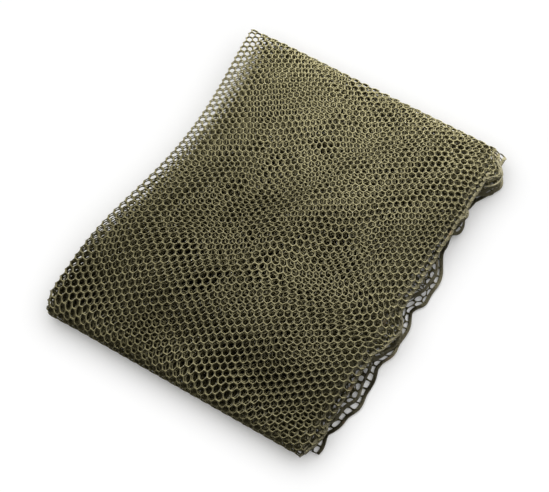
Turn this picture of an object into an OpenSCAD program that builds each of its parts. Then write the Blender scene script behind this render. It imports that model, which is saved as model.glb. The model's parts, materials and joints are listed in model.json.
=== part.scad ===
// A soft knitted fishing net, stored as a flat folded bundle.
// The cloth is folded crosswise into four plies, and that long strip is folded like a
// concertina into three panels that lie on each other: bottom, middle and top.
// +X points to the cloth's hemmed edges, +Y along the panels, +Z up from the resting face.
// The panels turn on two folds: the back fold joins bottom and middle, the front fold
// joins middle and top. Opened by half a turn, all three lie side by side.

/* [Bundle] */
// Width of a panel, from its side folds to its widest hem
panel_w = 256; // [180:4:320]
// Length of a panel, from fold to fold
panel_l = 315; // [200:5:420]
// Thickness that one ply of the soft netting takes up
ply_t = 2.3; // [1.6:0.1:3.5]
// Clear space between two panels
panel_gap = 0.4; // [0.3:0.1:1]
// How far the panels' left side curves in between its two ends
waist = 15; // [0:1:20]

/* [Hems] */
// Width of the sewn hem tape
hem_w = 3; // [3:0.5:9]
// How far the longest hem bulge stands out from the bundle's right side
hem_reach = 18; // [0:0.5:20]

/* [Netting colour] */
// Tone of the netting, from dark to light
netting_tone = 0.9; // [0.6:0.05:1.1]

/* [Hidden] */
PLIES = 4;
STEPS = 30;
ROLL_SIDES = 6;
// Each panel stops this far short of its fold's line, so that it can turn about it
fold_clearance = 0.2;
panel_t = PLIES * ply_t;
pitch = panel_t + panel_gap;
half_l = panel_l / 2;
half_w = panel_w / 2;
roll_r = panel_t;
side_r = ply_t;
flat_half_l = half_l - roll_r;
widest_y = -0.37 * panel_l;
hem_base_x = half_w - hem_reach;
netting = [0.42 * netting_tone, 0.38 * netting_tone, 0.26 * netting_tone];
hem_colour = [0.36, 0.33, 0.22];

// Each hem: the ply that it binds, then its bulges as [place along Y, half length, share of hem_reach]
PANELS = ["bottom", "middle", "top"];
HEMS = [
    [
        [
            "lower", 0,
            [[134, 34, 0.95], [20, 64, 1], [-34, 80, 1], [-88, 76, 1], [-140, 60, 0.58], [0, 600, 0.33]]
        ],
        ["upper", 3, [[134, 30, 0.9], [26, 40, 0.75], [-88, 60, 0.72], [0, 600, 0.25]]]
    ],
    [
        ["lower", 0, [[84, 26, 0.62], [130, 26, 0.85], [-34, 44, 0.9]]],
        ["upper", 3, [[132, 28, 0.95], [-142, 40, 0.5], [-36, 40, 0.8]]]
    ],
    [
        ["lower", 0, [[84, 22, 0.6], [134, 24, 0.85], [0, 300, 0.15]]],
        ["upper", 3, [[-38, 38, 0.92], [0, 600, 0.4], [150, 50, 0.55]]]
    ]
];

// Side folds: the lower of the two plies that each joins, and its side
LEFT_FOLDS = [["lower", 0], ["upper", 2]];
RIGHT_FOLD_PLY = 1;
// How far the right fold stands back from the hems
right_fold_inset = 3;
// Where the cross folds end on the right, as a share of hem_reach
cross_fold_share = 0.35;
// The middle panel's plies sag in front of the bottom panel, down to this height, in the space
// that the bottom panel leaves at its front end
sag_z = 0.3;
sag_room = 10.4;

// Lowest height of a panel, and of a ply in it
function panel_z(panel) = panel * pitch;
function ply_z(panel, ply) = panel_z(panel) + ply * ply_t;

// A panel is flat up to a cross fold, and up to its cut end where it has no fold
function panel_front(panel) = panel == 0 ? -half_l + sag_room : -flat_half_l;
function panel_back(panel) = panel == 2 ? half_l - fold_clearance : flat_half_l;

// Stations along the flat part of a panel
function station(panel, i) = panel_front(panel) + (panel_back(panel) - panel_front(panel)) * i / STEPS;
function stations(panel) = [for (i = [0:STEPS]) station(panel, i)];
function backwards(list) = [for (i = [len(list) - 1:-1:0]) list[i]];

// The left side is a slow wave: widest near the front, waisted a little behind the middle
function left_x(y) = -half_w + waist * (1 - cos(360 * (y - widest_y) / panel_l)) / 2;

// A smooth bulge, 1 at its centre and 0 from its half length outwards
function bell(u) = abs(u) < 1 ? pow(cos(90 * u), 2) : 0;
function hem_bulge(y, bulges) = max([for (b = bulges) b[2] * hem_reach * bell((y - b[0]) / b[1])]);
function hem_x(y, bulges) = hem_base_x + hem_bulge(y, bulges);
function right_fold_x(y) = hem_base_x - right_fold_inset - 1.5 * cos(2 * y);

// Where a ply's netting ends on the right: at its hem tape, or at the middle of its fold
function hem_of(panel, ply) = [for (h = HEMS[panel]) if (h[1] == ply) h[2]];
function netting_right_x(panel, ply, y) =
    len(hem_of(panel, ply)) > 0 ? hem_x(y, hem_of(panel, ply)[0]) - hem_w : right_fold_x(y) - side_r;
function netting_left_x(y) = left_x(y) + side_r;

// A flat strip between two edges that run along Y, one ply thick
module flat_strip(panel, number, right, left) {
    translate([0, 0, ply_z(panel, number)])
        linear_extrude(ply_t)
            polygon(concat(right, backwards(left)));
}

// One flat ply of netting between its left fold and its hem or right fold
module ply(panel, number) {
    color(netting)
        flat_strip(
            panel, number,
            [for (y = stations(panel)) [netting_right_x(panel, number, y), y]],
            [for (y = stations(panel)) [netting_left_x(y), y]]
        );
}

// A hem: the woven tape sewn round the cloth's raw edge, in the same plane as its ply
module hem(panel, row) {
    bulges = HEMS[panel][row][2];
    color(hem_colour)
        flat_strip(
            panel, HEMS[panel][row][1],
            [for (y = stations(panel)) [hem_x(y, bulges), y]],
            [for (y = stations(panel)) [hem_x(y, bulges) - hem_w, y]]
        );
}

// A ring of a half-round strip along Y, its flat face against the two plies that it joins
function half_round(x, y, z, side) = [
    for (k = [0:ROLL_SIDES])
        [x + side * side_r * sin(180 * k / ROLL_SIDES), y, z - side_r * cos(180 * k / ROLL_SIDES)]
];

// A closed solid swept through a list of rings
module swept(rings) {
    sides = len(rings[0]);
    last = len(rings) - 1;
    walls = [
        for (i = [0:last - 1], k = [0:sides - 1])
            let (next = (k + 1) % sides)
                [i * sides + k, (i + 1) * sides + k, (i + 1) * sides + next, i * sides + next]
    ];
    first_end = [for (k = [0:sides - 1]) k];
    last_end = [for (k = [sides - 1:-1:0]) last * sides + k];
    polyhedron([for (ring = rings) each ring], concat(walls, [first_end, last_end]));
}

// A side fold: the netting turns back on itself round this half-round edge
module left_fold(panel, lower_ply) {
    z = ply_z(panel, lower_ply) + ply_t;
    color(netting)
        swept([for (y = backwards(stations(panel))) half_round(netting_left_x(y), y, z, -1)]);
}

module right_fold(panel) {
    z = ply_z(panel, RIGHT_FOLD_PLY) + ply_t;
    color(netting)
        swept([for (y = stations(panel)) half_round(right_fold_x(y) - side_r, y, z, 1)]);
}

// Half of a cross fold: all the plies of one panel curving in towards the fold's line.
// side is 1 at the back and -1 at the front, above is true for the panel over the fold,
// reach is how far the fold's outer ply gets from the fold's line, up or down.
module fold_half(panel, side, above, reach) {
    left = left_x(side * flat_half_l);
    width = hem_base_x + cross_fold_share * hem_reach - left;
    edge_z = above ? panel_z(panel) : panel_z(panel) + panel_t;
    color(netting)
        intersection() {
            translate([left, side * flat_half_l, edge_z])
                scale([1, 1, reach / roll_r])
                    rotate([0, 90, 0])
                        cylinder(r = roll_r - fold_clearance, h = width, $fn = 64);
            translate([left, side > 0 ? flat_half_l : -half_l, above ? edge_z : edge_z - reach])
                cube([width, roll_r, reach]);
        }
}

module back_fold_lower_half() { fold_half(0, 1, false, panel_t); }
module back_fold_upper_half() { fold_half(1, 1, true, panel_t); }
module front_fold_lower_half() { fold_half(1, -1, false, panel_z(1) + panel_t - sag_z); }
module front_fold_upper_half() { fold_half(2, -1, true, panel_t); }

for (panel = [0:2]) {
    name = PANELS[panel];
    for (number = [0:PLIES - 1])
        ply(panel, number);
    for (fold = LEFT_FOLDS)
        left_fold(panel, fold[1]);
    right_fold(panel);
    for (row = [0:1])
        hem(panel, row);
}
back_fold_lower_half();
back_fold_upper_half();
front_fold_lower_half();
front_fold_upper_half();
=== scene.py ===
# %% [markdown]
# # A folded fishing net
# The real thing is one piece of soft knitted netting with a narrow woven tape round its raw edges.
# It is folded crosswise into four plies, and the long strip is folded like a concertina into three
# panels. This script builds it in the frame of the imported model: three bodies that turn on two folds.
# The plan is the one that a net maker follows: knit the cloth flat, then fold it.

# %% Load the frame
import json
import math

import bpy
import numpy as np
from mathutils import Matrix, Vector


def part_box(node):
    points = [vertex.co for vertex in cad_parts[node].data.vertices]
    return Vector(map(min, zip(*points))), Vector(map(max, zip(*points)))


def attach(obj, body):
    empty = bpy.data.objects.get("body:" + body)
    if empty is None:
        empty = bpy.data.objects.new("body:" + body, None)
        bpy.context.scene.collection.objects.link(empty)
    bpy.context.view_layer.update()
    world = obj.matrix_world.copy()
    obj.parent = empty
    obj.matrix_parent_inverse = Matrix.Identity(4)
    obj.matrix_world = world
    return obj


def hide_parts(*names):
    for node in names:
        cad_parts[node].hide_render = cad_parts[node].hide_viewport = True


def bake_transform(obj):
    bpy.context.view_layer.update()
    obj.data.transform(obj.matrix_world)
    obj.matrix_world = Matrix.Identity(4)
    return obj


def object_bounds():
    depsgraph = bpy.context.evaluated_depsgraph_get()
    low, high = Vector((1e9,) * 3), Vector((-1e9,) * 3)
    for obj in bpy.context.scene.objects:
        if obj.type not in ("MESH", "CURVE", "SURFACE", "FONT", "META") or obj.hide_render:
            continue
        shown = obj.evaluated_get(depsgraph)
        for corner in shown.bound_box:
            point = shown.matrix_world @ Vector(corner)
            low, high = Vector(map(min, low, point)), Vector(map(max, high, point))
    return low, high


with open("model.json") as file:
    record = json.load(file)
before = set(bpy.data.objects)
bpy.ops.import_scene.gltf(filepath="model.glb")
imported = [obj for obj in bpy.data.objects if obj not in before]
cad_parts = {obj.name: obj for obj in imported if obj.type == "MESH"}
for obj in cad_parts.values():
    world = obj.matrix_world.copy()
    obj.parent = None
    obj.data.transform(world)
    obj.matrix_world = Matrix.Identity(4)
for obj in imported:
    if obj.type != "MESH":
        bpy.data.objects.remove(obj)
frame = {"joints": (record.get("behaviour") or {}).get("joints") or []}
cad_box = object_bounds()
MM = 0.001

# %% [markdown]
# ## The camera
# A folded net is looked at from above and a little from one side, so that its hemmed edge and its
# rounded front fold both show. A long lens keeps the bundle's sides almost parallel.

# %% Camera
TARGET = np.array([1.2, -14.6, 14.0]) * MM
AZIMUTH, ELEVATION = math.radians(31.5), math.radians(60.3)
DISTANCE = 1.333

back = np.array([
    math.sin(AZIMUTH) * math.cos(ELEVATION),
    -math.cos(AZIMUTH) * math.cos(ELEVATION),
    math.sin(ELEVATION),
])
camera = bpy.data.objects.new("camera", bpy.data.cameras.new("camera"))
bpy.context.scene.collection.objects.link(camera)
camera.location = TARGET + back * DISTANCE
camera.rotation_euler = (math.pi / 2 - ELEVATION, 0, AZIMUTH)
camera.data.lens = 110
camera.data.sensor_width = 36
bpy.context.scene.camera = camera
print("camera at", [round(v, 3) for v in camera.location])

# %% [markdown]
# ## Sizes
# Everything is worked out from the frame: how thick a ply is, where the panels lie, and where the
# folds have their hinge lines. The cell sizes are those of the netting itself.

# %% Sizes from the frame
PANELS = ("bottom", "middle", "top")


def box(node):
    low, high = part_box(node)
    return np.array(low, float), np.array(high, float)


joint = {j["name"]: np.array(j["pos_m"], float) for j in frame["joints"]}
BACK_Y, BACK_Z = joint["back_fold"][1:]
FRONT_Y, FRONT_Z = joint["front_fold"][1:]
PLY = box("top_ply_4")[1][2] - box("top_ply_4")[0][2]
BASE = [box(f"{panel}_ply_1")[0][2] for panel in PANELS]
HALF_W = -cad_box[0][0]
COLUMN, ROW = 4.72 * MM, 6.4 * MM
THREAD = 1.05 * MM
print("ply", round(PLY * 1000, 2), "mm; panels start at", [round(z * 1000, 2) for z in BASE])

# %% [markdown]
# ## How the cloth is laid out
# Two numbers name every point of the cloth: how many columns of cells it is from one raw edge, and
# how many rows from the first cut end. Across, the cloth runs right to left in the lowest ply, turns
# in a side fold, runs back, and so on. Along, it runs to the back fold, back over itself to the
# front fold, and over itself again. Each stretch is a whole number of cells long.

# %% Stretches of the cloth
PLY_COLUMNS, FOLD_COLUMNS = 48, 3
ACROSS = []
for ply in range(4):
    ACROSS.append((f"ply_{ply}", PLY_COLUMNS))
    if ply < 3:
        ACROSS.append((f"fold_{ply}", FOLD_COLUMNS))
ALONG = [
    ("bottom", 44), ("back_lower", 2), ("back_upper", 2), ("middle", 43),
    ("front_dip", 2), ("front_lower", 3), ("front_upper", 3), ("top", 46),
]


def starts(stretches):
    found, at = {}, 0
    for name, count in stretches:
        found[name] = (at, at + count)
        at += count
    return found, at


ACROSS_AT, COLUMNS = starts(ACROSS)
ALONG_AT, ROWS = starts(ALONG)
print("cloth:", COLUMNS, "columns,", ROWS, "rows")

# %% [markdown]
# ## The edges of the bundle
# No two plies of a folded cloth end on the same line. On the left, the side folds step in and out,
# most at the back corner, where the floor shows through the last two plies. On the right, each raw
# edge bulges where the cloth was not drawn tight. The same bulges are in the CAD model's hems.

# %% Edges
LENGTH = BACK_Y - FRONT_Y
WAIST = 15 * MM
WIDEST_Y = -0.37 * LENGTH
CORNER_CUT, CORNER_REACH = 5 * MM, 22 * MM
HEM_REACH, HEM_WIDTH, HEM_THICK = 18 * MM, 3 * MM, 0.5 * MM
HEM_OVERLAP = 1.2 * MM
HEM_BASE_X = HALF_W - HEM_REACH
RIGHT_FOLD_INSET = 3 * MM

# Bulges of each hem from the lowest up: place along Y, half length, share of HEM_REACH
HEM_BULGES = {
    ("bottom", "lower"): [
        (134, 34, 0.95), (20, 64, 1), (-34, 80, 1), (-88, 76, 1), (-140, 60, 0.58), (0, 600, 0.33),
    ],
    ("bottom", "upper"): [(134, 30, 0.9), (26, 40, 0.75), (-88, 60, 0.72), (0, 600, 0.25)],
    ("middle", "lower"): [(84, 26, 0.62), (130, 26, 0.85), (-34, 44, 0.9)],
    ("middle", "upper"): [(132, 28, 0.95), (-142, 40, 0.5), (-36, 40, 0.8)],
    ("top", "lower"): [(84, 22, 0.6), (134, 24, 0.85), (0, 300, 0.15)],
    ("top", "upper"): [(-38, 38, 0.92), (0, 600, 0.4), (150, 50, 0.55)],
}
# How far each hem's tape is rolled down and under, in degrees
HEM_ROLLS = {
    ("bottom", "lower"): -6, ("bottom", "upper"): 40,
    ("middle", "lower"): 24, ("middle", "upper"): 150,
    ("top", "lower"): 26, ("top", "upper"): 172,
}
# How far each left fold steps in, at the front and at the back, in millimetres
LEFT_STEPS = {
    ("bottom", "lower"): (2, 18), ("bottom", "upper"): (0, 20),
    ("middle", "lower"): (3, 16), ("middle", "upper"): (1, 18),
    ("top", "lower"): (1, 12), ("top", "upper"): (2, 0),
}


def smooth(t):
    t = np.clip(t, 0, 1)
    return t * t * (3 - 2 * t)


def bell(t):
    return np.where(np.abs(t) < 1, np.cos(np.clip(t, -1, 1) * math.pi / 2) ** 2, 0)


def left_x(y):
    wave = WAIST * (1 - np.cos(2 * math.pi * (y - WIDEST_Y) / LENGTH)) / 2
    corner = CORNER_CUT * smooth((FRONT_Y + CORNER_REACH - y) / CORNER_REACH) ** 2
    return -HALF_W + wave + corner


def left_fold_x(panel, row, y):
    front, behind = LEFT_STEPS[panel, row]
    step = front + (behind - front) * smooth((y - FRONT_Y) / LENGTH)
    return left_x(y) + step * MM


def hem_x(panel, row, y):
    bulge = [share * HEM_REACH * bell((y / MM - at) / half) for at, half, share in HEM_BULGES[panel, row]]
    return HEM_BASE_X + np.max(bulge, axis=0)


def roll_angle(panel, row, y):
    """How far a hem's tape is turned down, in radians."""
    wander = 9 * np.sin(y / (19 * MM) + 2 * PANELS.index(panel)) + 6 * np.sin(y / (7.3 * MM))
    return np.radians(HEM_ROLLS[panel, row] + wander)


def raw_edge_x(panel, row, y):
    """Where the netting itself ends inside its tape."""
    outward = (HEM_WIDTH - HEM_OVERLAP) * np.clip(np.cos(roll_angle(panel, row, y)), 0, 1)
    return hem_x(panel, row, y) - outward - HEM_THICK / 2


def right_fold_x(y):
    return HEM_BASE_X - RIGHT_FOLD_INSET - 1.5 * MM * np.cos(np.radians(2 * y / MM))


print("left side at mid length:", round(float(left_x(0.0)) * 1000, 1), "mm")

# %% [markdown]
# ## The profile along the cloth
# This function says where a point lies, seen from the side: its distance along the bundle and its
# height. A ply is named by its place in the cloth, from 0 to 3, and by fractions between them
# where it turns in a side fold. The plies nest in the cross folds. At the front the outer plies sag
# down to the table, so the bundle ends in one round nose.

# %% Side profile of the folds
SAG = 0.35
LIFT = THREAD / 2
LEVEL = (4 * PLY - 2 * LIFT) / (3 + 2 * SAG)
FLAT_BACK_Y = box("bottom_ply_1")[1][1]
BOTTOM_FRONT_Y, TOP_BACK_Y = box("bottom_ply_1")[0][1] + 1 * MM, BACK_Y - 1 * MM
DIP_START_Y, DIP_END_Y, NOSE_START_Y = -135 * MM, -148 * MM, -138 * MM
NEST_STEP = 0.7 * MM
NOSE_DEPTH = 1.95


def bezier(a, b, c, d, t):
    s = 1 - t
    return s**3 * a + 3 * s * s * t * b + 3 * s * t * t * c + t**3 * d


def profile(ply, tau):
    """Distance along Y, height, and how far through the panels (0 bottom, 1 middle, 2 top)."""
    h = LIFT + (ply + SAG) * LEVEL
    spread = BACK_Z - BASE[0] - h
    nose = FRONT_Z - BASE[1] - 4 * PLY + h
    back_tip = BACK_Y - 0.5 * MM - NEST_STEP * ply
    front_tip = FRONT_Y + 0.5 * MM + NEST_STEP * (3 - ply)
    low = FRONT_Z - NOSE_DEPTH * nose
    ones = np.ones_like(tau)
    cases = {}

    def share(name):
        first, last = ALONG_AT[name]
        return np.clip((tau - first) / (last - first), 0, 1)

    t = share("bottom")
    cases["bottom"] = (BOTTOM_FRONT_Y + t * (FLAT_BACK_Y - BOTTOM_FRONT_Y), BASE[0] + h, 0 * ones)
    t = share("back_lower") * math.pi / 2
    y = FLAT_BACK_Y + (back_tip - FLAT_BACK_Y) * np.sin(t)
    cases["back_lower"] = (y, BACK_Z - spread * np.cos(t), share("back_lower") / 2)
    t = share("back_upper") * math.pi / 2
    y = FLAT_BACK_Y + (back_tip - FLAT_BACK_Y) * np.cos(t)
    cases["back_upper"] = (y, BACK_Z + spread * np.sin(t), 0.5 + share("back_upper") / 2)
    t = share("middle")
    cases["middle"] = (FLAT_BACK_Y + t * (DIP_START_Y - FLAT_BACK_Y), FRONT_Z - nose, ones)
    t = share("front_dip")
    y = bezier(DIP_START_Y, DIP_START_Y - 5 * MM, DIP_END_Y + 5 * MM, DIP_END_Y, t)
    cases["front_dip"] = (y, bezier(FRONT_Z - nose, FRONT_Z - nose, low, low, t), 1 + t / 4)
    t = share("front_lower")
    y = bezier(DIP_END_Y, DIP_END_Y - 5 * MM, front_tip - 0.3 * MM, front_tip, t)
    z = bezier(low, low, low + 0.4 * (FRONT_Z - low), FRONT_Z, t)
    cases["front_lower"] = (y, z, 1.25 + t / 4)
    t = share("front_upper")
    y = bezier(front_tip, front_tip + 0.2 * MM, NOSE_START_Y - 8 * MM, NOSE_START_Y, t)
    z = bezier(FRONT_Z, FRONT_Z + 0.6 * nose, FRONT_Z + nose, FRONT_Z + nose, t)
    cases["front_upper"] = (y, z, 1.5 + t / 2)
    t = share("top")
    cases["top"] = (NOSE_START_Y + t * (TOP_BACK_Y - NOSE_START_Y), FRONT_Z + nose, 2 * ones)

    inside = [(tau >= ALONG_AT[name][0]) & (tau < ALONG_AT[name][1]) for name, _ in ALONG]
    inside[0] |= tau < 0
    inside[-1] |= tau >= ROWS
    return [np.select(inside, [cases[name][i] for name, _ in ALONG]) for i in range(3)]


print("ply spacing", round(LEVEL * 1000, 2), "mm")

# %% [markdown]
# ## Folding the cloth
# The last function puts the two together. It takes columns and rows and gives points in space.
# Knitted netting never lies square, so its cells are pulled out of line in three ways: slow waves,
# different in each ply; a small unevenness from cell to cell; and, in the ply that shows, a few
# puckers where the cloth was pushed together as it was folded. The bundle is thinner at its edges,
# and slopes down to the front fold.

# %% The folded cloth
WAVES = ((0.30, 1.0, 2.1, 0.4), (0.30, 3.3, 1.7, 1.9), (0.20, 5.1, 3.9, 4.0), (0.12, 9.3, 8.2, 2.2))
# Puckers of the top ply in millimetres: middle x and y, reach x and y, shift across and along
PUCKERS = (
    (-38, 12, 20, 44, 2, -5), (-75, -32, 26, 40, 0, 5), (-98, -88, 28, 32, -5, 6), (2, -46, 18, 40, -1, 4),
    (48, 18, 20, 55, 2, -4), (16, 104, 22, 46, 0, -4), (94, 104, 30, 50, -3, 5), (90, 0, 18, 50, -1, 3),
    (-100, 10, 24, 50, 4, -1), (-66, 52, 24, 30, 2, -3), (-46, 120, 30, 30, -3, 1), (96, -128, 50, 30, 4, -3),
)
UNEVEN, CRUMPLE = 0.35 * MM, 0.9 * MM
BACK_LEFT_INSET = 9 * MM


def waves(across, along, seed):
    """A slow wave pattern over a panel, about one cell high."""
    total = 0
    for i, (size, nx, ny, phase) in enumerate(WAVES):
        turn = phase + seed * (1.7 + i)
        total = total + size * np.sin(math.pi * (nx * across + ny * along) + turn)
        total = total + 0.6 * size * np.cos(math.pi * (ny * across - nx * along) - turn)
    return total


def uneven(x, y, seed):
    """A small shift that changes from cell to cell, within about UNEVEN."""
    total = np.sin(x / (2.3 * MM) + 1.9 * np.sin(y / (6.1 * MM) + seed) + seed)
    return UNEVEN * (total + np.sin(y / (2.9 * MM) + 2.1 * np.sin(x / (5.3 * MM) - seed) + 2 * seed)) / 2


def crumple(x, y, seed):
    """How far the netting is crumpled near its raw edges, across, along and up."""
    near = CRUMPLE * smooth((x - HEM_BASE_X + 8 * MM) / (12 * MM))
    across = near * np.sin(y / (4.1 * MM) + 1.5 * np.sin(x / (5 * MM)) + seed)
    along = near * np.sin(x / (4.6 * MM) + 1.4 * np.sin(y / (6 * MM)) + 1.7 * seed)
    up = near * (0.6 + np.sin(y / (6.3 * MM) + 2 * seed) * np.sin(x / (4.4 * MM) + seed))
    return across, along, up


def pucker(x, y):
    """How far the puckers shift a point of the top ply, across and along."""
    shift = [np.zeros_like(x), np.zeros_like(x)]
    for at_x, at_y, reach_x, reach_y, across, along in PUCKERS:
        weight = np.exp(-((x / MM - at_x) / reach_x) ** 2 - ((y / MM - at_y) / reach_y) ** 2)
        shift[0] = shift[0] + across * weight * MM
        shift[1] = shift[1] + along * weight * MM
    return shift


def panel_mix(values, through):
    """values for bottom, middle and top, blended where the cloth passes from one to the next."""
    low = smooth(through)
    high = smooth(through - 1)
    first_turn = values[0] * (1 - low) + values[1] * low
    second_turn = values[1] * (1 - high) + values[2] * high
    return np.where(through < 1, first_turn, second_turn)


def stack_row(panel, cloth_row):
    """The middle panel lies upside down, so its lower row is the cloth's upper one."""
    if panel != "middle":
        return cloth_row
    return {"lower": "upper", "upper": "lower"}[cloth_row]


# The share of its height that the top panel keeps at the back, the front and the right
BACK_KEEPS, FRONT_KEEPS, RIGHT_KEEPS = 0.42, 0.45, 0.6
# Only the cloth beyond this part of the front fold is pressed down
SQUEEZE_FROM = 1.4


def squeeze(x, y):
    """The share of its height that the top panel keeps above the panels below."""
    behind = BACK_KEEPS + (1 - BACK_KEEPS) * smooth((BACK_Y - y) / (42 * MM))
    front = FRONT_KEEPS + (1 - FRONT_KEEPS) * smooth((y - FRONT_Y - 8 * MM) / (90 * MM))
    thin_left = 0.15 + 0.3 * smooth((y + 70 * MM) / (90 * MM))
    left = 1 - thin_left * (1 - smooth((x + HALF_W - 6 * MM) / (34 * MM)))
    right = RIGHT_KEEPS + (1 - RIGHT_KEEPS) * smooth((HALF_W - x) / (40 * MM))
    return behind * front * left * right


FRONT_DROOP = 0.11


def droop(y):
    """The share of its height that the bundle keeps; it is pressed down towards the front fold."""
    return 1 - FRONT_DROOP * smooth((FRONT_Y + 75 * MM - y) / (50 * MM))


def back_drape(y):
    """How far the top panel's end bends down over the back fold."""
    turn = np.clip((y - FLAT_BACK_Y) / (BACK_Z + 0.2 * MM), 0, 0.97)
    return BACK_Z * (1 - np.sqrt(1 - turn**2))


TURN_RADIUS = (0.5 + SAG) * LEVEL
LEAD = (1 - math.pi * TURN_RADIUS / (FOLD_COLUMNS * COLUMN)) / 2


def fold(sigma, tau):
    """Points in space of the cloth's points sigma columns across and tau rows along."""
    ply = np.zeros_like(sigma)
    from_right = np.zeros_like(sigma)
    turn = np.zeros_like(sigma)
    side = np.zeros_like(sigma)
    flat_ply = np.zeros_like(sigma)
    for name in ACROSS_AT:
        first, last = ACROSS_AT[name]
        here = (sigma >= first) & (sigma < last)
        if name == "ply_0":
            here |= sigma < 0
        if name == "ply_3":
            here |= sigma >= COLUMNS
        u = (sigma - first) / (last - first)
        k = int(name[-1])
        if name.startswith("ply"):
            right = u if k % 2 == 0 else 1 - u
            at_left = smooth(1 - (1 - right) * PLY_COLUMNS / 5) * (1 if k % 2 else -1)
            at_right = smooth(1 - right * PLY_COLUMNS / 5) * {1: -1, 2: 1}.get(k, 0)
            ply = np.where(here, k + SAG * (at_left + at_right), ply)
            from_right = np.where(here, right, from_right)
            flat_ply = np.where(here, k, flat_ply)
        else:
            angle = math.pi * np.clip((u - LEAD) / (1 - 2 * LEAD), 0, 1)
            ply = np.where(here, k + 0.5 - (0.5 + SAG) * np.cos(angle), ply)
            flat_way = np.minimum(np.minimum(u, 1 - u), LEAD) * FOLD_COLUMNS * COLUMN
            turn = np.where(here, np.sin(angle) * TURN_RADIUS + flat_way, turn)
            side = np.where(here, -1 if k % 2 == 0 else 1, side)
            from_right = np.where(here, 1 if k % 2 == 0 else 0, from_right)
            flat_ply = np.where(here, k + u, flat_ply)
    for name in PANELS:
        first, last = ALONG_AT[name]
        v = (tau - first) / (last - first)
        inside = np.clip(4 * v * (1 - v), 0, 1) ** 0.6
        seed = PANELS.index(name) * 4 + np.round(flat_ply)
        window = inside * np.clip(4 * from_right * (1 - from_right), 0, 1) ** 0.5
        tau = tau + inside * 0.5 * waves(from_right, v, 2.0 + 0 * seed)
        tau = tau + window * 0.7 * waves(from_right, v, 5.1 + seed)
        from_right = from_right + window * 1.3 / PLY_COLUMNS * waves(from_right, v, seed)
        if name == "top":
            tau = tau + 1.4 * np.sin(math.pi * np.clip(v, 0, 1))
            rough_x = HALF_W - 2 * HALF_W * from_right
            rough_y = NOSE_START_Y + v * (TOP_BACK_Y - NOSE_START_Y)
            shift_x, shift_y = pucker(rough_x, rough_y)
            showing = window * smooth(flat_ply - 2)
            tau = tau + showing * shift_y / ROW
            from_right = from_right - showing * shift_x / (2 * HALF_W)
    y, z, through = profile(ply, tau)

    def edge_of(row, place):
        return panel_mix([place(panel, stack_row(panel, row), y) for panel in PANELS], through)

    turn_reach = TURN_RADIUS + LEAD * FOLD_COLUMNS * COLUMN
    left_low, left_high = edge_of("lower", left_fold_x), edge_of("upper", left_fold_x)
    left = np.where(ply < 1.5, left_low, left_high) + turn_reach
    right = np.where(
        flat_ply < 0.5, edge_of("lower", raw_edge_x),
        np.where(flat_ply > 2.5, edge_of("upper", raw_edge_x), right_fold_x(y) - turn_reach),
    )
    x = right + (left - right) * from_right + side * turn
    small = uneven(x, y, flat_ply)
    x = x + small * np.clip(4 * from_right * (1 - from_right), 0, 1)
    at_back_left = smooth((-x - 84 * MM) / (30 * MM)) * smooth((y - 95 * MM) / (50 * MM))
    y = y - BACK_LEFT_INSET * at_back_left * smooth(2 - through)
    crumpled = crumple(x, y, 2.1 * flat_ply + 3.3 * through)
    calm = 1 - 0.7 * smooth(flat_ply - 2) * smooth(through - 1)
    x, y, z = x + calm * crumpled[0], y + calm * crumpled[1], z + calm * crumpled[2]
    pressed = np.where(through > SQUEEZE_FROM, squeeze(x, y), 1) ** smooth((z - FRONT_Z) / MM)
    z = FRONT_Z + (z - FRONT_Z) * pressed
    hang = 0.6 * np.clip(x - HEM_BASE_X, 0, None) * smooth((ply - 1) / 2) * smooth(through)
    z = (z - hang - np.where(through > 1.9, back_drape(y), 0)) * droop(y)
    return np.stack([x, y, z], axis=-1)


corner = fold(np.array([COLUMNS - 1.0]), np.array([ROWS - 1.0]))[0]
print("the top ply's last cell is at", np.round(corner * 1000, 1), "mm")

# %% [markdown]
# ## Shader maths as expressions
# A material is easier to read as a formula. This small class wraps a socket, so that adding or
# multiplying values adds the Math nodes, and one method makes any other node.

# %% Material helper
class Value:
    """A shader socket that can be used in sums."""

    def __init__(self, maker, socket):
        self.maker, self.socket = maker, socket

    def _math(self, operation, a, b):
        return self.maker.node("ShaderNodeMath", {"operation": operation}, {0: a, 1: b})

    def __add__(self, other):
        return self._math("ADD", self, other)

    __radd__ = __add__

    def __sub__(self, other):
        return self._math("SUBTRACT", self, other)

    def __rsub__(self, other):
        return self._math("SUBTRACT", other, self)

    def __mul__(self, other):
        return self._math("MULTIPLY", self, other)

    __rmul__ = __mul__


class Maker:
    """A new material, its shader, and the nodes that feed it."""

    def __init__(self, name, **constants):
        self.material = bpy.data.materials.new(name)
        self.material.use_nodes = True
        self.tree = self.material.node_tree
        self.shader = self.tree.nodes["Principled BSDF"]
        for socket, value in constants.items():
            self.shader.inputs[socket.replace("_", " ")].default_value = value

    def node(self, kind, settings=None, inputs=None, output=0):
        made = self.tree.nodes.new(kind)
        for key, value in (settings or {}).items():
            setattr(made, key, value)
        for key, value in (inputs or {}).items():
            if isinstance(value, Value):
                self.tree.links.new(value.socket, made.inputs[key])
            else:
                made.inputs[key].default_value = value
        return Value(self, made.outputs[output])

    def mix(self, share, a, b):
        return self.node("ShaderNodeMix", {"data_type": "RGBA"}, {0: share, 6: a, 7: b}, 2)

    def noise(self, where, scale, detail=2.0):
        return self.node("ShaderNodeTexNoise", {}, {"Vector": where, "Scale": scale, "Detail": detail})

    def feed(self, socket, value):
        self.tree.links.new(value.socket, self.shader.inputs[socket])


def between(value, low, high):
    """0 below low, 1 above high, smooth in between."""
    return value.maker.node(
        "ShaderNodeMapRange", {"interpolation_type": "SMOOTHSTEP"}, {0: value, 1: low, 2: high}
    )


print("material helper ready")

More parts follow.
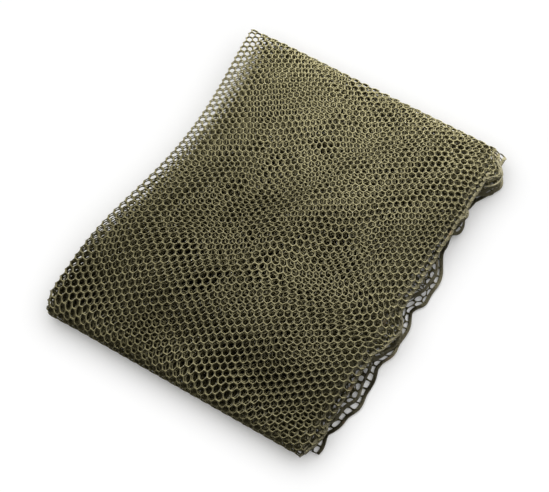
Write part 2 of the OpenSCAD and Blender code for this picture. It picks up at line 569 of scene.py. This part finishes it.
# %% [markdown]
# ## The yarn
# The yarn is a bulky twisted polyester, olive with a little straw colour where the fibres catch the
# light. It is matt, with a soft sheen. Two noises vary its colour: one over a hand's width, as dye
# lots do, and one from stitch to stitch. A third is the fibre itself, and only raises the surface.

# %% Yarn material
YARN_DARK = (0.105, 0.092, 0.040, 1)
YARN_LIGHT = (0.185, 0.166, 0.085, 1)
YARN_STRAW = (0.27, 0.245, 0.135, 1)

yarn = Maker("netting_yarn", Roughness=0.82, Sheen_Weight=0.1, Sheen_Roughness=0.4, Specular_IOR_Level=0.15)
where = yarn.node("ShaderNodeTexCoord", output=3)
dye = yarn.noise(where, 14.0)
stitch = yarn.noise(where, 420.0, 3.0)
fibre = yarn.noise(where, 2600.0, 4.0)
tone = between(dye * 0.45 + stitch * 0.55, 0.36, 0.64)
shade = yarn.mix(tone, YARN_DARK, YARN_LIGHT)
shade = yarn.mix(between(fibre, 0.52, 0.75) * 0.6, shade, YARN_STRAW)
yarn.feed("Base Color", shade)
yarn.feed("Roughness", 0.72 + 0.2 * stitch)
relief = {"Strength": 0.5, "Distance": 0.0002, "Height": fibre + stitch * 0.8}
yarn.feed("Normal", yarn.node("ShaderNodeBump", {}, relief))
print("yarn:", len(yarn.tree.nodes), "nodes")

# %% [markdown]
# ## Knitting the cells
# The netting is one cell repeated thirty thousand times, so Geometry Nodes lays it out. The motif
# is a hexagon with a rounded hole, in three rings: the top and bottom ridges of the yarn, which
# neighbours share, and the edge of the hole between them. The tree puts one on every point of a
# lattice, makes them real, and welds the shared ridges. Only then is the flat piece folded.

# %% Cell motif
def cell_motif(sides):
    """One cell, one column wide and one row high: two ridges round its border and a rounded hole."""
    hole = 0.5 - 0.5 * THREAD / (ROW * 0.93)
    border, inner = [], []
    for i in range(sides):
        angle = 2 * math.pi * i / sides + math.pi / 6 * (sides == 12)
        direction = np.array([math.cos(angle), math.sin(angle)])
        off_corner = (angle + math.pi / 6) % (math.pi / 3) - math.pi / 6
        to_border = 0.5 / math.cos(math.pi / 6 - abs(off_corner))
        border.append(direction * to_border)
        inner.append(direction * (0.35 * hole * to_border * 2 + 0.65 * hole))
    shear = np.array([1 / (0.5 * math.sqrt(3)), 1.0])
    points = [(*(p * shear), 1.0) for p in border] + [(*(p * shear), 0.0) for p in inner]
    points += [(*(p * shear), -1.0) for p in border]
    faces = []
    for i in range(sides):
        j = (i + 1) % sides
        faces.append((i, j, sides + j, sides + i))
        faces.append((sides + i, sides + j, 2 * sides + j, 2 * sides + i))
    mesh = bpy.data.meshes.new(f"cell_{sides}")
    mesh.from_pydata(points, [], faces)
    return bpy.data.objects.new(f"cell_{sides}", mesh)


motifs = {sides: cell_motif(sides) for sides in (6, 12)}
for motif in motifs.values():
    bpy.context.scene.collection.objects.link(motif)
print("motif faces:", {n: len(m.data.polygons) for n, m in motifs.items()})

# %% Netting tree
def new_tree(name, sizes):
    """An empty Geometry Nodes tree with a mesh in and out and the named inputs."""
    tree = bpy.data.node_groups.new(name, "GeometryNodeTree")
    tree.interface.new_socket("Geometry", in_out="INPUT", socket_type="NodeSocketGeometry")
    for label, kind in sizes.items():
        tree.interface.new_socket(label, in_out="INPUT", socket_type=kind)
    tree.interface.new_socket("Geometry", in_out="OUTPUT", socket_type="NodeSocketGeometry")
    return tree, tree.nodes.new("NodeGroupInput"), tree.nodes.new("NodeGroupOutput")


def wire(tree, *pairs):
    for source, target in pairs:
        tree.links.new(source, target)


def netting_tree():
    tree, given, made = new_tree("knit_cells", {
        "Cell": "NodeSocketObject", "Weld distance": "NodeSocketFloat", "Yarn": "NodeSocketMaterial",
    })
    cell = tree.nodes.new("GeometryNodeObjectInfo")
    place = tree.nodes.new("GeometryNodeInstanceOnPoints")
    real = tree.nodes.new("GeometryNodeRealizeInstances")
    weld = tree.nodes.new("GeometryNodeMergeByDistance")
    smooth_faces = tree.nodes.new("GeometryNodeSetShadeSmooth")
    material = tree.nodes.new("GeometryNodeSetMaterial")
    wire(
        tree,
        (given.outputs["Cell"], cell.inputs["Object"]),
        (given.outputs["Geometry"], place.inputs["Points"]),
        (cell.outputs["Geometry"], place.inputs["Instance"]),
        (place.outputs["Instances"], real.inputs["Geometry"]),
        (real.outputs["Geometry"], weld.inputs["Geometry"]),
        (given.outputs["Weld distance"], weld.inputs["Distance"]),
        (weld.outputs["Geometry"], smooth_faces.inputs["Geometry"]),
        (smooth_faces.outputs["Geometry"], material.inputs["Geometry"]),
        (given.outputs["Yarn"], material.inputs["Material"]),
        (material.outputs["Geometry"], made.inputs["Geometry"]),
    )
    return tree


def run_tree(obj, tree, **values):
    """Runs a tree on obj with its named inputs set, and leaves the result as obj's plain mesh."""
    modifier = obj.modifiers.new(tree.name, "NODES")
    modifier.node_group = tree
    identifiers = {s.name: s.identifier for s in tree.interface.items_tree if s.in_out == "INPUT"}
    for label, value in values.items():
        modifier[identifiers[label.replace("_", " ")]] = value
    bpy.context.view_layer.update()
    evaluated = obj.evaluated_get(bpy.context.evaluated_depsgraph_get())
    mesh = bpy.data.meshes.new_from_object(evaluated)
    obj.modifiers.clear()
    old, obj.data = obj.data, mesh
    (bpy.data.curves if isinstance(old, bpy.types.Curve) else bpy.data.meshes).remove(old)
    return obj


KNIT = netting_tree()
print("tree:", KNIT.name, [s.name for s in KNIT.interface.items_tree])

# %% [markdown]
# ## From flat to folded
# Every piece of netting is first knitted flat, in columns and rows, then each of its points is
# folded. A point also has a height in the yarn, from its lower ridge to its upper one, which is
# carried along the folded cloth's own direction outwards.

# %% Fold a knitted piece
NUDGE = 0.02
TABLE_CLEARANCE = 0.1 * MM


def on_table(points):
    """Nothing reaches into the table: what would is pressed flat just above it."""
    points[:, 2] = np.maximum(points[:, 2], TABLE_CLEARANCE)
    return points


def fold_points(flat):
    """Folded places of flat points, given as column, row and height in the yarn from -1 to 1."""
    sigma, tau, height = flat[:, 0], flat[:, 1], flat[:, 2]
    middle = fold(sigma, tau)
    across = fold(sigma + NUDGE, tau) - fold(sigma - NUDGE, tau)
    along = fold(sigma, tau + NUDGE) - fold(sigma, tau - NUDGE)
    out = np.cross(along, across)
    out /= np.linalg.norm(out, axis=1, keepdims=True) + 1e-12
    return on_table(middle + out * (height * THREAD * 0.55)[:, None])


def mesh_points(mesh):
    points = np.empty(len(mesh.vertices) * 3, np.float32)
    mesh.vertices.foreach_get("co", points)
    return points.reshape(-1, 3).astype(float)


def set_points(mesh, points):
    mesh.vertices.foreach_set("co", points.astype(np.float32).ravel())
    mesh.update()


def cell_centres(columns, rows):
    """Middles of the cells of a stretch of cloth; every other column is half a cell further on."""
    found = []
    for column in range(*columns):
        shift = 0.5 * (column % 2)
        for row in range(rows[0] - 1, rows[1] + 1):
            along = row + 0.5 + shift
            if rows[0] <= along < rows[1] and along < ROWS - 0.2:
                found.append((column + 0.5, along, 0.0))
    return found


def knit(name, columns, rows, sides=12):
    """A folded piece of netting over a range of columns and rows."""
    mesh = bpy.data.meshes.new(name)
    mesh.from_pydata(cell_centres(columns, rows), [], [])
    piece = bpy.data.objects.new(name, mesh)
    bpy.context.scene.collection.objects.link(piece)
    run_tree(piece, KNIT, Cell=motifs[sides], Weld_distance=0.02, Yarn=yarn.material)
    set_points(piece.data, fold_points(mesh_points(piece.data)))
    return piece


def declare(columns, rows):
    size = ((columns[1] - columns[0]) * COLUMN, (rows[1] - rows[0]) * ROW)


print("folding ready")

# %% [markdown]
# ## The hem
# A narrow woven tape is folded over each raw edge and sewn down with one row of stitches. A tape's
# section is a flat rounded bar, so Curve to Mesh sweeps it along a straight line, as long as its
# panel. The stitches are one small thread, repeated along the tape. Both are then bent along the
# raw edge of the folded cloth, and rolled down as far as each hem is.

# %% Hem material
TAPE_DARK = (0.075, 0.067, 0.034, 1)
TAPE_LIGHT = (0.220, 0.198, 0.120, 1)
TAPE_RUST = (0.240, 0.140, 0.070, 1)

tape_cloth = Maker("hem_tape", Roughness=0.85, Sheen_Weight=0.1, Sheen_Roughness=0.5, Specular_IOR_Level=0.15)
where = tape_cloth.node("ShaderNodeTexCoord", output=3)
on_tape = tape_cloth.node("ShaderNodeUVMap", {"uv_map": "weave"})
warp = tape_cloth.node("ShaderNodeTexWave", {"bands_direction": "X"}, {"Vector": on_tape, "Scale": 0.55}, 1)
weft = tape_cloth.node("ShaderNodeTexWave", {"bands_direction": "Y"}, {"Vector": on_tape, "Scale": 0.42}, 1)
weave = warp * weft + (1 - warp) * (1 - weft)
worn = tape_cloth.noise(where, 60.0, 3.0)
faded = tape_cloth.noise(where, 900.0, 3.0)
tape_tone = between(0.3 * weave + 0.35 * worn + 0.35 * faded, 0.3, 0.65)
tape_shade = tape_cloth.mix(tape_tone, TAPE_DARK, TAPE_LIGHT)
tape_shade = tape_cloth.mix(between(worn, 0.6, 0.72) * 0.5, tape_shade, TAPE_RUST)
tape_cloth.feed("Base Color", tape_shade)
tape_cloth.feed("Roughness", 0.75 + 0.2 * faded)
relief = {"Strength": 0.6, "Distance": 0.0002, "Height": weave + 0.5 * faded}
tape_cloth.feed("Normal", tape_cloth.node("ShaderNodeBump", {}, relief))

stitch_thread = Maker("stitch_thread", Roughness=0.6, Specular_IOR_Level=0.3)
where = stitch_thread.node("ShaderNodeTexCoord", output=3)
twist = stitch_thread.noise(where, 1800.0, 2.0)
stitch_thread.feed("Base Color", stitch_thread.mix(twist, (0.10, 0.09, 0.05, 1), (0.24, 0.215, 0.14, 1)))
stitch_thread.feed("Normal", stitch_thread.node("ShaderNodeBump", {}, {"Strength": 0.4, "Height": twist}))
print("hem materials:", tape_cloth.material.name, stitch_thread.material.name)


# %% Tape and stitch trees
def tape_tree():
    tree, given, made = new_tree("weave_tape", {
        "From": "NodeSocketVector", "To": "NodeSocketVector", "Stations": "NodeSocketInt",
        "Width": "NodeSocketFloat", "Thickness": "NodeSocketFloat", "Cloth": "NodeSocketMaterial",
    })
    line = tree.nodes.new("GeometryNodeCurvePrimitiveLine")
    stations = tree.nodes.new("GeometryNodeResampleCurve")
    section = tree.nodes.new("GeometryNodeCurvePrimitiveQuadrilateral")
    rounded = tree.nodes.new("GeometryNodeFilletCurve")
    half = tree.nodes.new("ShaderNodeMath")
    half.operation, half.inputs[1].default_value = "MULTIPLY", 0.45
    sweep = tree.nodes.new("GeometryNodeCurveToMesh")
    sweep.inputs["Fill Caps"].default_value = True
    real = tree.nodes.new("GeometryNodeRealizeInstances")
    material = tree.nodes.new("GeometryNodeSetMaterial")
    wire(
        tree,
        (given.outputs["From"], line.inputs["Start"]),
        (given.outputs["To"], line.inputs["End"]),
        (line.outputs["Curve"], stations.inputs["Curve"]),
        (given.outputs["Stations"], stations.inputs["Count"]),
        (given.outputs["Width"], section.inputs["Width"]),
        (given.outputs["Thickness"], section.inputs["Height"]),
        (given.outputs["Thickness"], half.inputs[0]),
        (section.outputs["Curve"], rounded.inputs["Curve"]),
        (half.outputs["Value"], rounded.inputs["Radius"]),
        (stations.outputs["Curve"], sweep.inputs["Curve"]),
        (rounded.outputs["Curve"], sweep.inputs["Profile Curve"]),
        (sweep.outputs["Mesh"], real.inputs["Geometry"]),
        (real.outputs["Geometry"], material.inputs["Geometry"]),
        (given.outputs["Cloth"], material.inputs["Material"]),
        (material.outputs["Geometry"], made.inputs["Geometry"]),
    )
    return tree


def stitch_tree():
    tree, given, made = new_tree("sew_stitches", {
        "Stitch": "NodeSocketObject", "Count": "NodeSocketInt", "First": "NodeSocketVector",
        "Step": "NodeSocketVector", "Thread": "NodeSocketMaterial",
    })
    stitch_object = tree.nodes.new("GeometryNodeObjectInfo")
    line = tree.nodes.new("GeometryNodeMeshLine")
    place = tree.nodes.new("GeometryNodeInstanceOnPoints")
    real = tree.nodes.new("GeometryNodeRealizeInstances")
    material = tree.nodes.new("GeometryNodeSetMaterial")
    wire(
        tree,
        (given.outputs["Stitch"], stitch_object.inputs["Object"]),
        (given.outputs["Count"], line.inputs["Count"]),
        (given.outputs["First"], line.inputs["Start Location"]),
        (given.outputs["Step"], line.inputs["Offset"]),
        (line.outputs["Mesh"], place.inputs["Points"]),
        (stitch_object.outputs["Geometry"], place.inputs["Instance"]),
        (place.outputs["Instances"], real.inputs["Geometry"]),
        (real.outputs["Geometry"], material.inputs["Geometry"]),
        (given.outputs["Thread"], material.inputs["Material"]),
        (material.outputs["Geometry"], made.inputs["Geometry"]),
    )
    return tree


TAPE, SEW = tape_tree(), stitch_tree()
print("trees:", TAPE.name, SEW.name)

# %% Stitch motif
STITCH_LENGTH, STITCH_THICK, STITCH_STEP = 1.9 * MM, 0.42 * MM, 2.6 * MM
STITCH_RINGS, STITCH_SIDES = 5, 6


def stitch_motif():
    """A short arched thread on each face of the tape, lengthwise along Y in rows."""
    points, faces = [], []
    for face in (1, -1):
        for i in range(STITCH_RINGS):
            t = i / (STITCH_RINGS - 1)
            thick = STITCH_THICK * (0.35 + 0.65 * math.sin(math.pi * t))
            height = face * (HEM_THICK / 2 - 0.1 * MM + 0.22 * MM * math.sin(math.pi * t))
            for k in range(STITCH_SIDES):
                angle = 2 * math.pi * k / STITCH_SIDES
                side, up = thick / 2 * math.cos(angle), thick / 2 * math.sin(angle)
                points.append((side, (t - 0.5) * STITCH_LENGTH / ROW, height + up))
        base = len(points) - STITCH_RINGS * STITCH_SIDES
        for i in range(STITCH_RINGS - 1):
            ring = base + STITCH_SIDES * i
            for k in range(STITCH_SIDES):
                a, b = ring + k, ring + (k + 1) % STITCH_SIDES
                faces.append((a, b, b + STITCH_SIDES, a + STITCH_SIDES))
        last = len(points) - STITCH_SIDES
        faces.append(tuple(base + k for k in reversed(range(STITCH_SIDES))))
        faces.append(tuple(last + k for k in range(STITCH_SIDES)))
    mesh = bpy.data.meshes.new("stitch")
    mesh.from_pydata(points, [], [face[::-1] for face in faces])
    motif = bpy.data.objects.new("stitch", mesh)
    bpy.context.scene.collection.objects.link(motif)
    return motif


motifs["stitch"] = stitch_motif()
print("stitch motif:", len(motifs["stitch"].data.polygons), "faces")

# %% Bend a tape along the raw edge
EDGES = {"lower": 0, "upper": COLUMNS}


def bend_points(flat, cloth_row):
    """Folded places of a tape's points, given as metres across the tape, row and metres above it."""
    outward, tau, up = flat[:, 0] + HEM_WIDTH / 2 - HEM_OVERLAP, flat[:, 1], flat[:, 2]
    edge = EDGES[cloth_row]
    inward = 1 if edge == 0 else -1
    sigma = np.full_like(tau, edge)
    middle = fold(sigma + inward * NUDGE, tau)
    across = (fold(sigma + inward * 25 * NUDGE, tau) - middle) * inward
    along = fold(sigma, tau + 5 * NUDGE) - fold(sigma, tau - 5 * NUDGE)
    normal = np.cross(along, across)
    normal /= np.linalg.norm(normal, axis=1, keepdims=True)
    out = np.cross(normal, along) * (-inward)
    out /= np.linalg.norm(out, axis=1, keepdims=True)
    through = profile(0 * tau + (0 if edge == 0 else 3), tau)[2]
    rolls = []
    for panel in PANELS:
        down = (-inward if panel != "middle" else inward)
        rolls.append(down * roll_angle(panel, stack_row(panel, cloth_row), middle[:, 1]))
    roll = panel_mix(rolls, through)[:, None]
    outward, up = outward[:, None], up[:, None]
    place = middle + out * (outward * np.cos(roll) - up * np.sin(roll))
    return on_table(place + normal * (outward * np.sin(roll) + up * np.cos(roll)))


def sew(name, rows, cloth_row, riding):
    """A stretch of hem tape with its stitches, bent along one raw edge. riding is then called on each piece:
    on a ply it puts it on its body, on a cross fold it bakes it in place.
    """
    made = []
    for kind in ("tape", "stitches"):
        mesh = bpy.data.meshes.new(name)
        mesh.from_pydata([(0, 0, 0)], [], [])
        piece = bpy.data.objects.new(f"{kind}_{name}", mesh)
        bpy.context.scene.collection.objects.link(piece)
        if kind == "tape":
            run_tree(
                piece, TAPE, From=(0, rows[0], 0), To=(0, rows[1], 0), Stations=3 * (rows[1] - rows[0]) + 1,
                Width=HEM_WIDTH, Thickness=HEM_THICK, Cloth=tape_cloth.material,
            )
        else:
            step = STITCH_STEP / ROW
            count = int((rows[1] - rows[0]) / step)
            inset = -HEM_WIDTH / 2 + 0.8 * MM
            run_tree(
                piece, SEW, Stitch=motifs["stitch"], Count=count, First=(inset, rows[0] + step / 2, 0),
                Step=(0, step, 0), Thread=stitch_thread.material,
            )
        flat = mesh_points(piece.data)
        weave_map = piece.data.uv_layers.new(name="weave")
        corners = np.empty(len(piece.data.loops), np.int32)
        piece.data.loops.foreach_get("vertex_index", corners)
        uv = np.stack([flat[corners, 0] / MM, flat[corners, 1] * ROW / MM], axis=-1)
        weave_map.data.foreach_set("uv", uv.astype(np.float32).ravel())
        set_points(piece.data, bend_points(flat, cloth_row))
        piece.data.shade_smooth()
        riding(piece)
        made.append(piece)
    return made


def riding_on(body):
    return lambda piece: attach(piece, body)


print("hem ready: tape", HEM_WIDTH * 1000, "mm wide")

# %% [markdown]
# ## The plies
# Each panel has four plies. A ply is one stretch of columns, between its side folds and hems, and
# rides on its panel. Plies that lie inside the bundle have plainer cells.

# %% Plies
def stack_number(panel, cloth_ply):
    """The ply's number from the panel's underside, 1 to 4."""
    return 4 - cloth_ply if panel == "middle" else cloth_ply + 1


HIDDEN = {("bottom", 1), ("bottom", 2), ("middle", 1), ("middle", 2)}
total = 0
for panel in PANELS:
    rows = ALONG_AT[panel]
    for cloth_ply in range(4):
        columns = ACROSS_AT[f"ply_{cloth_ply}"]
        node = f"{panel}_ply_{stack_number(panel, cloth_ply)}"
        sides = 6 if (panel, cloth_ply) in HIDDEN else 12
        piece = knit(f"net_{node}", columns, rows, sides)
        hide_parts(node)
        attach(piece, f"{panel}_panel")
        trim = []
        if cloth_ply in (0, 3):
            cloth_row = "lower" if cloth_ply == 0 else "upper"
            hem_node = f"{panel}_{stack_row(panel, cloth_row)}_hem"
            trim = sew(hem_node, rows, cloth_row, riding_on(f"{panel}_panel"))
            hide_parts(hem_node)
        declare(columns, rows)
        total += 2 * len(piece.data.polygons)
print("plies:", total, "triangles")

# %% [markdown]
# ## The side folds
# In a side fold the netting turns back on itself in a soft loop three cells wide.

# %% Side folds
for panel in PANELS:
    rows = ALONG_AT[panel]
    for cloth_fold in range(3):
        columns = ACROSS_AT[f"fold_{cloth_fold}"]
        if cloth_fold == 1:
            node = f"{panel}_right_fold"
        else:
            row = stack_row(panel, "lower" if cloth_fold == 0 else "upper")
            node = f"{panel}_{row}_left_fold"
        piece = knit(f"net_{node}", columns, rows)
        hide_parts(node)
        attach(piece, f"{panel}_panel")
        declare(columns, rows)
print("side folds made")

# %% [markdown]
# ## The cross folds
# All four plies pass through a cross fold, one inside the other. Each half of a cross fold is knitted
# as one piece with its hems, and is fixed where it lies; it rides on neither panel. The front hinge
# height is where the drooping front edge puts the line between the two panels.

# %% Cross folds
FRONT_CREASE_LIFT = 0.35 * MM
BACK = ("bottom_panel", "middle_panel", BACK_Z, 0.85 * MM)
FRONT = ("middle_panel", "top_panel", FRONT_Z * (1 - FRONT_DROOP) + FRONT_CREASE_LIFT, 0.5 * MM)
CROSS_FOLDS = (
    ("back_fold_lower_half", BACK, ("back_lower", "back_lower")),
    ("back_fold_upper_half", BACK, ("back_upper", "back_upper")),
    ("front_fold_lower_half", FRONT, ("front_dip", "front_lower")),
    ("front_fold_upper_half", FRONT, ("front_upper", "front_upper")),
)


def turning(under, over, height, crease):
    start, end = (0, 0, height - crease), (0, 0, height + crease)
    return lambda piece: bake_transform(piece)


for node, hinge, (first, last) in CROSS_FOLDS:
    rows = (ALONG_AT[first][0], ALONG_AT[last][1])
    piece = knit(f"net_{node}", (0, COLUMNS), rows)
    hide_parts(node)
    turning(*hinge)(piece)
    trim = []
    for cloth_row in ("lower", "upper"):
        trim += sew(f"{node}_{cloth_row}_hem", rows, cloth_row, turning(*hinge))
    declare((0, COLUMNS), rows)
print("cross folds made")

# %% [markdown]
# ## Floor and light
# A plain white table in a pale room. A wide lamp overhead lights the table alone, and gives the soft
# shadow all round the bundle. Three small lamps light the net alone. The key lamp stands low and
# close behind the back fold, so its light falls off to the front and throws the holes into shade.
# The far lamp lights the cloth that is opened out past it, and the side lamp the left folds. The
# backdrop looks white, but adds only a little light.

# %% Stage
floor_mesh = bpy.data.meshes.new("floor")
REACH = 3.0
corners = [(-REACH, -REACH, 0), (REACH, -REACH, 0), (REACH, REACH, 0), (-REACH, REACH, 0)]
floor_mesh.from_pydata(corners, [], [(0, 1, 2, 3)])
floor = bpy.data.objects.new("floor", floor_mesh)
bpy.context.scene.collection.objects.link(floor)
table = Maker("white_table", Base_Color=(0.95, 0.95, 0.95, 1), Roughness=0.9, Specular_IOR_Level=0.0)
floor_mesh.materials.append(table.material)

room = bpy.data.worlds.new("room")
room.use_nodes = True
room.node_tree.nodes["Background"].inputs["Color"].default_value = (1, 1, 1, 1)
AMBIENT = 0.1
strength = room.node_tree.nodes["Background"].inputs["Strength"]
seen = room.node_tree.nodes.new("ShaderNodeLightPath").outputs["Is Camera Ray"]
brighten = room.node_tree.nodes.new("ShaderNodeMath")
brighten.operation = "MAXIMUM"
brighten.inputs[1].default_value = AMBIENT
room.node_tree.links.new(seen, brighten.inputs[0])
room.node_tree.links.new(brighten.outputs[0], strength)
bpy.context.scene.world = room

linked = {}
for state in ("EXCLUDE", "INCLUDE"):
    linked[state] = bpy.data.collections.new(f"floor_{state.lower()}")
    linked[state].objects.link(floor)
    linked[state].collection_objects[0].light_linking.link_state = state


def lamp(name, kind, place, target, linking, **settings):
    made = bpy.data.objects.new(name, bpy.data.lights.new(name, kind))
    for setting, value in settings.items():
        setattr(made.data, setting, value)
    made.location = place
    from_lamp = np.array(target) - np.array(place)
    yaw = math.atan2(from_lamp[0], -from_lamp[1])
    pitch = math.atan2(math.hypot(from_lamp[0], from_lamp[1]), -from_lamp[2])
    made.rotation_euler = (pitch, 0, yaw + math.pi)
    bpy.context.scene.collection.objects.link(made)
    made.light_linking.receiver_collection = linked[linking]
    made.visible_camera = False
    return made


# Name, place, target, size in metres and power in watts
NET_LAMPS = (
    ("key_lamp", (-0.02, 0.47, 0.27), (0, 0, 0), 0.2, 8),
    ("far_lamp", (0, 1.5, 0.6), (0, 0.5, 0), 0.4, 14),
    ("side_lamp", (-0.6, -0.05, 0.14), (-0.1, -0.02, 0), 0.3, 2.5),
)
for name, place, target, size, energy in NET_LAMPS:
    lamp(name, "AREA", place, target, "EXCLUDE", shape="DISK", size=size, energy=energy)
lamp("table_lamp", "SUN", (0, 0, 1), (0, 0, 0), "INCLUDE", energy=3.05, angle=math.radians(120))
bpy.context.scene.view_settings.view_transform = "Standard"
print("stage set")

# %% Finish
for motif in motifs.values():
    bpy.data.objects.remove(motif)
